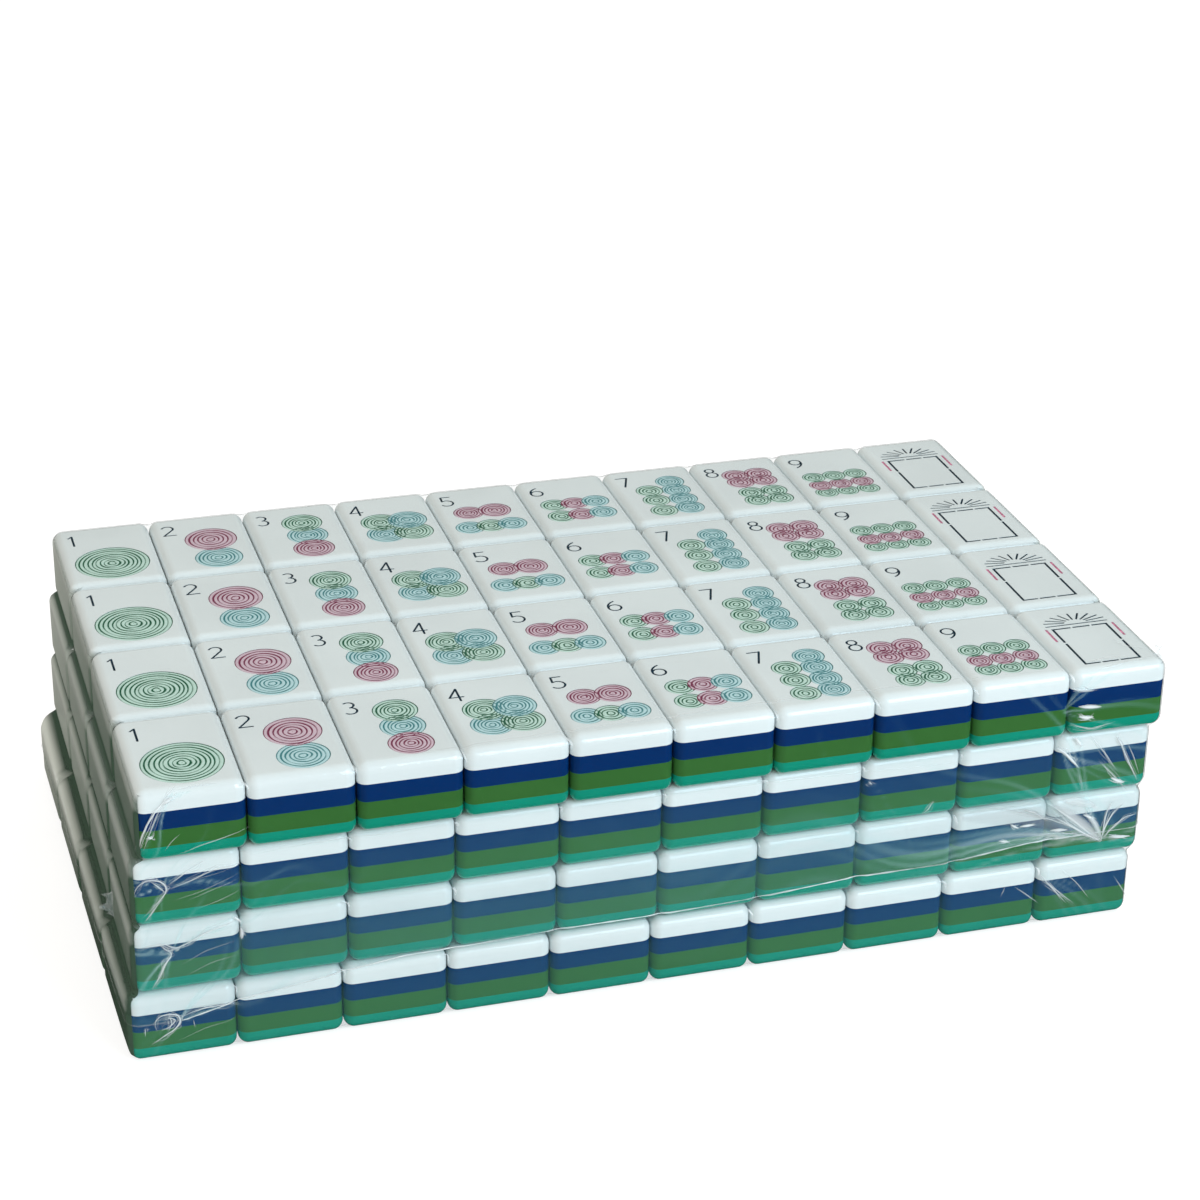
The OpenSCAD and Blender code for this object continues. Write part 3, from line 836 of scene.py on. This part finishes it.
# %% Grids from the weld to the eaves
COVER_OUT_MM, TRAY_OUT_MM, RISE_MM, BULGE_MM, RIGHT_LIT_PALE = 0.28, 0.14, 0.55, 2.4, 0.4


def bulge(name, shares, z):
    """How far the film stands off the bottom tier's left end, more so towards the back."""
    if name != "left":
        return 0
    edges = np.minimum(between(z, 0, 3), between(z, TILE_H_MM + 0.6, TILE_H_MM - 1.9))
    return BULGE_MM * shares ** 0.6 * np.sqrt(np.minimum(edges, between(shares, 1, 0.965)))


def upright_sheets(bottom, top, out, fold_milk, base_haze_and_light):
    """Four sheets from bottom up to top, as [points, haze, pale], that share the mean of their edges."""
    sheets = {}
    for name in ("front", "back", "left", "right"):
        side = SIDES[name]
        shares = X_SHARES if side.u_axis == 0 else Y_SHARES
        rise = np.linspace(0, 1, 1 + int((top - SEAM_LEFT_MM) / RISE_MM))
        z = bottom(side, shares)[:, None] * (1 - rise)[None] + top * rise[None]
        low, high = outer_edges(side.u_axis, z)
        u = low + (high - low) * shares[:, None]
        folds, white = fold_field(u, z, gathers_of[name])
        haze, pale = base_haze_and_light(name, z) + white * fold_milk, np.clip(white * 3, 0, 1)
        # On the ends the valleys between tiles get painted shade: less haze, and darker milk.
        if side.axis == 0:
            valley_shade = np.clip(side.height(u, z, side.valley_shade) / 2.0, 0, 1)
            haze, pale = haze - 0.1 * valley_shade, end_painted_light(u, z) - 0.8 * valley_shade
        # The right end faces the window, so its milk is painted paler as a lit side, and fades to clear at
        # its front edge.
        if name == "right":
            haze, pale = haze * between(shares[:, None], 0, 0.04), pale + RIGHT_LIT_PALE
        sheets[name] = [side.points(u, z, out + folds + bulge(name, shares[:, None], z)), haze, pale]
    for side, end in (("front", 0), ("front", -1), ("back", 0), ("back", -1)):
        other, start = ("left", "right")[end], (0 if side == "front" else -1)
        mean = (sheets[side][0][end] + sheets[other][0][start]) / 2
        sheets[side][0][end], sheets[other][0][start] = mean, mean
    return sheets


def floor_bottom(side, shares):
    return np.full(shares.shape, CORNER_IN_MM)


cover = upright_sheets(seam_bottom, EAVES_MM, COVER_OUT_MM, 1.0, cover_haze_and_light)
tray = upright_sheets(floor_bottom, LAP_TOP_MM, TRAY_OUT_MM, 0.6, tray_haze_and_light)
print("cover's front:", cover["front"][0].shape, "tray's front:", tray["front"][0].shape)

# %% [markdown]
# ## The roof and the skins
# The roof is one more sheet, laid over the faces of the top tier, and its rim is the rim of the four
# uprights. Now every sheet becomes a mesh. `create_grid` makes a flat grid of quads with as many vertices
# as the sheet has points, and each vertex moves to its point. The faces could be listed by hand, but the
# operator already joins them right. A grid whose faces look inwards is turned round.

# %% The roof
ROOF_HAZE = 0.008
west, east = (cover[name][0][None, :, -1, 0] for name in ("left", "right"))
south, north = (cover[name][0][:, None, -1, 1] for name in ("front", "back"))
u, v = west + (east - west) * X_SHARES[:, None], south + (north - south) * Y_SHARES[None]
roof = SIDES["top"].points(u, v, COVER_OUT_MM)
for index, name in ((np.s_[:, 0], "front"), (np.s_[:, -1], "back"), (np.s_[0], "left"), (np.s_[-1], "right")):
    roof[index] = cover[name][0][:, -1]
cover["top"] = [roof, ROOF_HAZE, 0]
print("roof:", roof.shape)


# %% Sheets into skins
def film_form():
    """An empty bmesh whose vertices carry haze and paleness."""
    form = bmesh.new()
    for key in ("haze", "pale"):
        form.verts.layers.float.new(key)
    return form


def add_sheet(form, points, haze, pale=1.0):
    """Adds a grid, moves its vertices to an array of points, and gives them their values."""
    across, along = points.shape[:2]
    made = bmesh.ops.create_grid(form, x_segments=along - 1, y_segments=across - 1, size=1)["verts"]
    hazes, pales = (np.broadcast_to(value, (across, along)).ravel() for value in (haze, pale))
    haze_of, pale_of = (form.verts.layers.float[key] for key in ("haze", "pale"))
    for vert, place, milk, white in zip(made, points.reshape(-1, 3), hazes, pales):
        vert.co, vert[haze_of], vert[pale_of] = place, milk, white


for sheets, prefix, body in ((cover, "film_cover", "film_cover"), (tray, "film_tray", "tier_1")):
    for name, (points, haze, pale) in sheets.items():
        form = film_form()
        add_sheet(form, points, haze, pale)
        if SIDES[name].inward:
            bmesh.ops.reverse_faces(form, faces=form.faces)
        material = end_film_with_shade if name in ("left", "right") else clear_film
        piece(f"{prefix}_{name}_skin", form, material, "film", body, [f"{prefix}_{name}"])

# %% [markdown]
# ## The film under the block
# The block stands on its film, which lies flat there. One quad would do, but the sheet is a grid of a few
# more.

# %% The tray's floor
FLOOR_IN_MM, FLOOR_Z_MM, FLOOR_CELLS, FLOOR_HAZE = 1.5, 0.05, (20, 12), 0.1
x, y = (np.linspace(lows[0][a] + FLOOR_IN_MM, highs[0][a] - FLOOR_IN_MM, FLOOR_CELLS[a]) for a in (0, 1))
x, y = np.meshgrid(x, y, indexing="ij")
form = film_form()
add_sheet(form, np.stack([x, y, np.full(x.shape, FLOOR_Z_MM)], axis=2), FLOOR_HAZE, 0)
piece("film_tray_floor_skin", form, clear_film, "film", "tier_1", ["film_tray_floor"])

# %% [markdown]
# ## Creases and painted glints
# The sharpest folds are bright, hair-thin lines on the film. They are far narrower than the sheets' cells,
# and a finer sheet would be heavy. So each crease is a narrow ridge of its own that lies on the film, five
# vertices wide and tapered at both ends. The short, wide ridges round the right end are painted glints, white
# where the window shines on the film, and two long thin ones are painted highlights on tiles' upper edges.
# Each entry has its width in millimetres, its milkiness, and the pixels of the picture that it runs through.
# A strong crease is a bundle, so thinner strands are strewn round it.

# %% Where the creases and painted glints run
CREASES_AND_GLINTS = [
    (0.35, 0.75, [(176, 787), (167, 795), (162, 803), (155, 811), (147, 824), (141, 836), (138, 852)]),
    (0.80, 0.70, [(173, 796), (168, 799), (162, 804)]),
    (0.25, 0.50, [(168, 800), (158, 812), (149, 834), (143, 850)]),
    (0.25, 0.40, [(249, 826), (220, 838), (199, 845), (177, 854)]),
    (0.20, 0.35, [(180, 833), (171, 841), (165, 850)]),
    (0.20, 0.35, [(217, 785), (197, 787), (177, 791)]),
    (0.55, 0.85, [(147, 836), (151, 838), (153, 836)]),
    (0.30, 0.70, [(133, 896), (136, 887), (143, 881), (153, 879), (163, 882), (167, 889), (162, 897),
                  (147, 913)]),
    (0.25, 0.60, [(150, 881), (158, 886), (166, 893)]),
    (0.25, 0.65, [(167, 885), (182, 874), (197, 864), (205, 859)]),
    (0.25, 0.55, [(162, 898), (154, 909), (144, 922)]),
    (0.20, 0.28, [(173, 900), (200, 891), (240, 871)]),
    (0.20, 0.25, [(187, 900), (212, 889), (241, 876)]),
    (0.25, 0.22, [(197, 908), (220, 899), (241, 888)]),
    (0.30, 0.50, [(168, 889), (190, 880), (215, 868), (240, 862)]),
    (0.30, 0.60, [(133, 947), (150, 945), (163, 943), (175, 948), (190, 941), (205, 932), (234, 920)]),
    (0.35, 0.70, [(166, 946), (172, 954), (165, 963), (160, 975), (152, 988)]),
    (0.25, 0.55, [(160, 945), (168, 951), (176, 948)]),
    (0.20, 0.28, [(180, 965), (205, 950), (238, 938)]),
    (0.20, 0.25, [(186, 975), (210, 962), (240, 952)]),
    (0.90, 0.60, [(240, 927), (242, 932), (241, 938)]),
    (0.30, 0.80, [(157, 1031), (154, 1022), (159, 1016), (168, 1013), (178, 1014), (181, 1021), (174, 1029),
                  (163, 1036), (152, 1044)]),
    (0.25, 0.75, [(162, 1020), (170, 1017), (176, 1019), (170, 1026), (161, 1030)]),
    (0.25, 0.60, [(168, 1013), (172, 1022), (168, 1031)]),
    (0.30, 0.70, [(180, 1017), (192, 1011), (205, 1007), (222, 1004), (238, 1001)]),
    (0.25, 0.55, [(145, 1027), (145, 1036)]),
    (0.25, 0.40, [(193, 1018), (195, 1027)]),
    (0.20, 0.25, [(178, 1040), (205, 1027), (238, 1016)]),
    # From here on, the short, wide entries are painted glints of the window on the film; the thin, long ones
    # are creases.
    (1.00, 0.90, [(1078, 706), (1090, 706), (1101, 706)]),
    (0.90, 0.85, [(1078, 716), (1086, 717), (1093, 716)]),
    (0.35, 0.45, [(1070, 723), (1082, 727), (1092, 728), (1110, 722)]),
    (0.80, 0.80, [(1074, 737), (1078, 741), (1081, 746)]),
    (0.70, 0.85, [(1057, 748), (1064, 752), (1071, 759), (1078, 767)]),
    (0.80, 0.85, [(1110, 777), (1117, 780), (1123, 782)]),
    (0.60, 0.60, [(1116, 737), (1120, 742), (1122, 747)]),
    (0.35, 0.45, [(1098, 760), (1110, 772), (1126, 789)]),
    (0.30, 0.40, [(1126, 740), (1133, 756), (1138, 772)]),
    (0.50, 0.90, [(1100, 841), (1088, 832), (1072, 819), (1056, 808), (1045, 802)]),
    (2.60, 0.50, [(1101, 840), (1085, 826), (1066, 812), (1050, 803)]),
    (2.20, 0.45, [(1062, 800), (1080, 801), (1096, 806)]),
    (1.40, 0.55, [(1101, 838), (1094, 822), (1084, 812)]),
    (0.40, 0.60, [(1101, 839), (1103, 824), (1106, 811), (1112, 800)]),
    (0.30, 0.55, [(1099, 838), (1080, 834), (1060, 832), (1030, 836)]),
    (0.30, 0.45, [(1099, 838), (1060, 822), (1020, 812), (985, 806)]),
    (6.00, 0.16, [(962, 818), (995, 812), (1035, 815), (1075, 826), (1098, 838)]),
    (0.70, 0.80, [(1083, 814), (1088, 816), (1094, 819)]),
    (0.60, 0.80, [(1010, 824), (1014, 826), (1018, 828)]),
    (0.45, 0.55, [(1117, 736), (1126, 757), (1136, 779)]),
    (0.35, 0.45, [(1090, 735), (1104, 752), (1116, 770)]),
    (0.60, 0.50, [(1072, 689), (1082, 690), (1093, 690)]),
    (0.30, 0.45, [(1038, 878), (1054, 888), (1072, 902)]),
    (0.30, 0.40, [(1060, 868), (1076, 882), (1088, 897)]),
    (0.45, 0.80, [(1100, 841), (1086, 834), (1068, 824), (1052, 815)]),
    (0.40, 0.70, [(1100, 840), (1104, 826), (1112, 812), (1121, 804)]),
    (0.35, 0.65, [(1100, 840), (1110, 828), (1124, 816), (1136, 812)]),
    (0.70, 0.85, [(1108, 836), (1118, 836), (1129, 835)]),
    (0.70, 0.80, [(1019, 826), (1026, 825), (1034, 824)]),
    (0.70, 0.80, [(1049, 830), (1057, 829), (1066, 829)]),
    (0.60, 0.75, [(998, 840), (1004, 841), (1009, 841)]),
    (0.45, 0.60, [(1020, 808), (1034, 812), (1046, 820)]),
    (0.35, 0.40, [(1014, 886), (1026, 894), (1037, 902)]),
    (0.40, 0.50, [(1039, 874), (1052, 888), (1065, 902)]),
    (0.30, 0.40, [(1113, 875), (1120, 886), (1127, 898)]),
    (0.30, 0.35, [(1005, 885), (1000, 896)]),
    (0.30, 0.55, [(921, 814), (928, 808), (933, 800)]),
    (0.35, 0.60, [(868, 781), (872, 784)]),
    # These two are painted highlights along the upper edges of the tiles in the second tier from the top.
    (0.22, 0.30, [(249, 854), (301, 844), (349, 836), (385, 833), (450, 822)]),
    (0.22, 0.25, [(560, 808), (640, 798), (700, 790), (800, 778), (900, 768), (1000, 757)]),
]
ROOF_CREASES = [
    (0.25, 0.35, [(358, 765), (467, 748), (570, 733), (670, 719), (776, 703), (876, 691), (973, 680),
                  (1065, 672)]),
    (0.35, 0.30, [(1085, 664), (1105, 659), (1130, 657)]),
    (0.35, 0.30, [(1098, 669), (1117, 665), (1139, 660), (1153, 657)]),
    (0.30, 0.40, [(1112, 640), (1128, 648), (1146, 650)]),
]
print("creases:", len(CREASES_AND_GLINTS), "on the roof:", len(ROOF_CREASES))

# %% Bundles of strands, and painted glints at corners
STRANDS, STRAND_SPREAD_MM, STRAND_WIDTH, STRAND_MILK = 4, 0.5, 0.4, 0.65
CORNER_GLINT_SHARE, CORNER_GLINT_DROP_MM, CORNER_GLINT_PATH, CORNER_GLINT_SPREAD_MM = 0.8, 1.1, np.array([(-0.9, 0.6), (0, 0), (0.2, -1.3)]), 0.25
CORNER_GLINT_WIDTHS_MM, CORNER_GLINT_MILKS = (0.35, 0.8), (0.3, 0.7)
random = np.random.default_rng(5)
runs = []
for name, table in (("front", CREASES_AND_GLINTS), ("top", ROOF_CREASES)):
    for width, milk, pixels in table:
        places = np.array([SIDES[name].place(*px) for px in pixels])
        runs.append((name, places, width, milk))
        for _ in range(STRANDS if milk > 0.4 and width < 1 else 0):
            strand = places + random.normal(0, STRAND_SPREAD_MM, places.shape)
            runs.append((name, strand, STRAND_WIDTH * width, STRAND_MILK * milk))
# Painted glints: milky marks at the tiles' upper corners, where the film passes over the gaps between tiles
# and shines.
for tier in range(TIERS):  # nubs of film at the tiles' upper corners
    for column in range(1, COLUMNS):
        corner = (lows[tier][0] + column * PITCH_X_MM - GAP_MM / 2, seats[tier] + TILE_H_MM - CORNER_GLINT_DROP_MM)
        path = corner + CORNER_GLINT_PATH + random.normal(0, CORNER_GLINT_SPREAD_MM, CORNER_GLINT_PATH.shape)
        width, milk = random.uniform(*CORNER_GLINT_WIDTHS_MM), random.uniform(*CORNER_GLINT_MILKS)
        if random.random() < CORNER_GLINT_SHARE:
            runs.append(("front", path, width, milk))
print("runs:", len(runs))


# %% Ridges along the runs
CREASE_STEP_MM, CREASE_OUT_MM, CREASE_RISE_MM, CREASE_HALF, CREASE_STEEP = 0.5, 0.03, 0.25, 0.6, 0.35
CREASE_PROFILE = np.array([(-1, 0), (-0.5, 0.7), (0, 1), (0.5, 0.7), (1, 0)])  # shares across and of the rise


def smooth_run(corners, step):
    """Evenly spaced places on a smooth line through the corners, and their shares of its length."""
    reach = np.concatenate([[0], np.cumsum(np.linalg.norm(np.diff(corners, axis=0), axis=1))])
    places = np.linspace(0, reach[-1], max(5, int(reach[-1] / step) + 1))
    run = np.stack([np.interp(places, reach, values) for values in corners.T], axis=1)
    for _ in range(int(0.3 * reach[-1] / (len(corners) * step)) + 1):
        run[1:-1] = (run[:-2] + 2 * run[1:-1] + run[2:]) / 4
    return run, places / reach[-1]


def add_ridge(form, side, corners, width, milk):
    """Adds a tapered ridge on a side's film, through places (u, v)."""
    run, share = smooth_run(corners, CREASE_STEP_MM)
    way = np.gradient(run, axis=0)
    way /= np.linalg.norm(way, axis=1)[:, None]
    across = np.stack([-way[:, 1], way[:, 0]], axis=1)
    taper = np.sin(math.pi * np.clip(share, 0.02, 0.98)) ** 0.6
    shifts, rises = CREASE_PROFILE.T[..., None]
    place = run[None] + across[None] * (shifts * width * CREASE_HALF * taper)[..., None]
    lift = rises * min(CREASE_STEEP * width, CREASE_RISE_MM) * taper
    add_sheet(form, side.points(place[..., 0], place[..., 1], COVER_OUT_MM + CREASE_OUT_MM + lift),
              rises * milk * (0.4 + 0.6 * taper))


creases_and_glints = {"film_cover": film_form(), "tier_1": film_form()}
for name, places, width, milk in runs:
    x, z = np.mean(places, axis=0)
    body = "tier_1" if name == "front" and z < np.interp(x, seam_x, seam_z) - 0.5 else "film_cover"
    add_ridge(creases_and_glints[body], SIDES[name], places, width, milk)
piece("film_cover_creases_and_glints", creases_and_glints["film_cover"], clear_film, "film", "film_cover")
piece("film_tray_creases_and_glints", creases_and_glints["tier_1"], clear_film, "film", "tier_1")

# %% [markdown]
# ## The weld's bead
# The weld is a thin, uneven bead of melted film. A bevelled curve would make an even tube, and a skin
# modifier a lumpy one that is hard to steer. Here a grid is wrapped into a tube round the weld's line,
# which swells and narrows along it. Merging the doubles closes the tube, and its normals are recalculated
# after that.

# %% Bead
BEAD_MM, BEAD_OUT_MM, BEAD_TURNS, BEAD_STEPS, BEAD_WELD_MM = 0.13, 0.1, 6, (240, 130), 0.001


def bead_run(side, backwards):
    """The weld's line along one side, as points and the ways out of it."""
    shares = np.linspace(0, 1, BEAD_STEPS[side.u_axis])
    z = seam_bottom(side, shares)
    low, high = outer_edges(side.u_axis, z)
    out = COVER_OUT_MM + BEAD_OUT_MM + bulge(side.name, shares, z)
    points = side.points(low + (high - low) * shares, z, out)
    ways = np.zeros(points.shape)
    ways[:, side.axis] = side.sign
    return np.stack([points, ways])[:, ::-1 if backwards else 1]


line, out = np.concatenate([bead_run(SIDES[name], backwards) for name, backwards in
                            (("front", False), ("right", False), ("back", True), ("left", True))], axis=1)
count = np.arange(len(line))
swell = BEAD_MM * (1 + 0.35 * np.sin(count * 0.37) * np.sin(count * 0.11 + 1) + 0.25 * np.sin(count * 1.3))
turn = np.arange(BEAD_TURNS + 1) * 2 * math.pi / BEAD_TURNS
tube = (line[:, None] + out[:, None] * (swell[:, None] * np.cos(turn))[..., None]
        + np.array([0, 0, 1]) * (swell[:, None] * np.sin(turn))[..., None])
milk = (0.42 + 0.22 * np.sin(count * 0.126)) * np.clip((line[:, 0] - seam_x[0] + 1) / 2, 0.15, 1)
form = film_form()
add_sheet(form, np.concatenate([tube, tube[:1]]), np.append(milk, milk[0])[:, None])
bmesh.ops.remove_doubles(form, verts=form.verts, dist=BEAD_WELD_MM)
bmesh.ops.recalc_face_normals(form, faces=form.faces)
piece("film_weld_bead", form, clear_film, "film_weld", "film_cover", ["film_weld_seam"])

# %% [markdown]
# ## Loose fins
# Behind the weld's corners a torn fin of film sticks out. Its edge could be cut from a sheet with a
# boolean, but a grid does it more simply: each row of the grid is as long as the torn edge is far out at
# that height, and a wave keeps the fin from looking like card.

# %% Fins
FIN_EDGE = np.array([(0, 0), (0.5, 0.12), (0.35, 0.3), (1, 0.42), (0.55, 0.56), (0.4, 0.75),
                     (0.8, 0.86), (0, 1)])
FIN_H_MM, FIN_REACH_MM, FIN_CELLS = 6.0, 3.0, (25, 9)
low, high = (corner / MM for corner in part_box("film_fins"))
heights, reaches = (np.linspace(0, 1, cells) for cells in FIN_CELLS)
heights, reaches = heights[:, None], reaches[None]
tip = np.interp(heights, FIN_EDGE[:, 1], FIN_EDGE[:, 0])
form = film_form()
for sign, foot, milk in ((1, (high.x - FIN_REACH_MM, low.y, high.z - FIN_H_MM), 0.45),
                         (-1, (low.x + FIN_REACH_MM, low.y, low.z), 0.15)):
    x = foot[0] + sign * FIN_REACH_MM * tip * reaches
    y = foot[1] + 0.5 * reaches * np.sin(heights * 17) + 0.3 * np.sin(reaches * 9 + heights * 6)
    z = foot[2] + FIN_H_MM * heights + 0 * x
    add_sheet(form, np.stack([x, y, z], axis=2), milk)
piece("film_loose_fins", form, clear_film, "film", "film_cover", ["film_fins"])

# %% [markdown]
# ## Light
# The picture has soft daylight from all round and a cooler window at the front right. A bright world alone
# gives no direction, and a strong lamp alone gives hard shadows. So a warm white world does most of the
# work, and one large area light stands for the window.

# %% Window light
KEY_PLACE, KEY_AIM, KEY_SIZE, KEY_POWER = Vector((0.70, -1.15, 0.85)), Vector((0, 0, 0.03)), (0.9, 0.6), 12
KEY_COLOUR = (0.60, 0.84, 1.0)

light = bpy.data.lights.new("key", "AREA")
light.shape, light.size, light.size_y, light.energy = "RECTANGLE", *KEY_SIZE, KEY_POWER
light.color = KEY_COLOUR
lamp = bpy.data.objects.new("key", light)
lamp.location = KEY_PLACE
lamp.rotation_euler = (KEY_AIM - KEY_PLACE).to_track_quat("-Z", "Y").to_euler()
scene.collection.objects.link(lamp)
print("window light, W:", KEY_POWER)

# %% [markdown]
# ## White world and floor
# The picture's background is plain white. A world and floor bright enough to look white would also flood
# the tiles with light and wash them out. Light Path tells which kind of ray asks: the camera sees white,
# reflections see a darker grey so that the film doesn't glare, and soft light gets its own level. The floor
# keeps the block's shadow.

# %% World and floor
WORLD_STRENGTH, GLOSSY_STRENGTH, FLOOR_GLOW, FLOOR_SHADE = 0.87, 0.06, 0.80, 0.35
FLOOR_SOFT, FLOOR_GLOSSY, FLOOR_SIZE = 0.9, 0.04, 9
WHITE, SKY = (1, 1, 1), (1.0, 0.95, 0.87)


def by_ray(tree, soft, glossy, camera):
    """One shader for soft light, one for reflections and one for what the camera sees."""
    found = soft
    for ray, shader in (("Is Glossy Ray", glossy), ("Is Camera Ray", camera)):
        found = node(tree, "MixShader", {0: node(tree, "LightPath", {}, out=ray), 1: found, 2: shader})
    return found


world = bpy.data.worlds.new("white")
world.use_nodes = True
scene.world = world
tree = world.node_tree
skies = [node(tree, "Background", {"Color": colour, "Strength": strength}) for colour, strength in
         ((SKY, WORLD_STRENGTH), (SKY, GLOSSY_STRENGTH), (WHITE, 1))]
feed(tree, by_ray(tree, *skies), tree.nodes["World Output"].inputs["Surface"])

ground = Paint("floor")
soft, glossy, shade = (ground.node("BsdfDiffuse", {"Color": (grey,) * 3})
                       for grey in (FLOOR_SOFT, FLOOR_GLOSSY, FLOOR_SHADE))
glow = ground.node("Emission", {"Color": WHITE, "Strength": FLOOR_GLOW})
ground.surface(by_ray(ground.tree, soft, glossy, ground.node("AddShader", {0: glow, 1: shade})))
bpy.ops.mesh.primitive_plane_add(size=FLOOR_SIZE)
floor = bpy.context.object
floor.name = "floor"
floor.data.materials.append(ground.material)
print("stage:", floor.name)

# %% [markdown]
